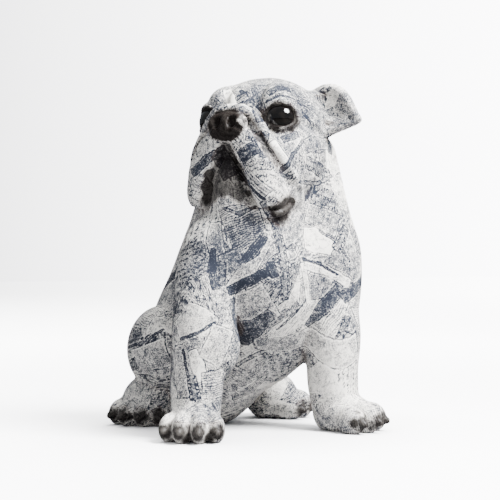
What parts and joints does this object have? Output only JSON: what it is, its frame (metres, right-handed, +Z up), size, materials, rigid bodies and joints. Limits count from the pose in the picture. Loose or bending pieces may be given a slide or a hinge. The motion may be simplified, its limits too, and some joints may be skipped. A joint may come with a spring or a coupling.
{
  "type": "seated dog figurine",
  "caption": "Seated bulldog figure, head turned to its right, covered in overlapping printed paper scraps, with glossy black eyes.",
  "frame": {"origin": "middle of the figure's bounding box, on the plane that its feet stand on", "axes": "+Z up, -Y the way the chest faces, +X the dog's left side"},
  "size_m": [0.2323, 0.2175, 0.3301],
  "materials": {
    "body": "matt",
    "eyes": "gloss"
  },
  "bodies": {
    "root": {"dog_body": "body", "eye_left": "eyes", "eye_right": "eyes"}
  },
  "joints": []
}
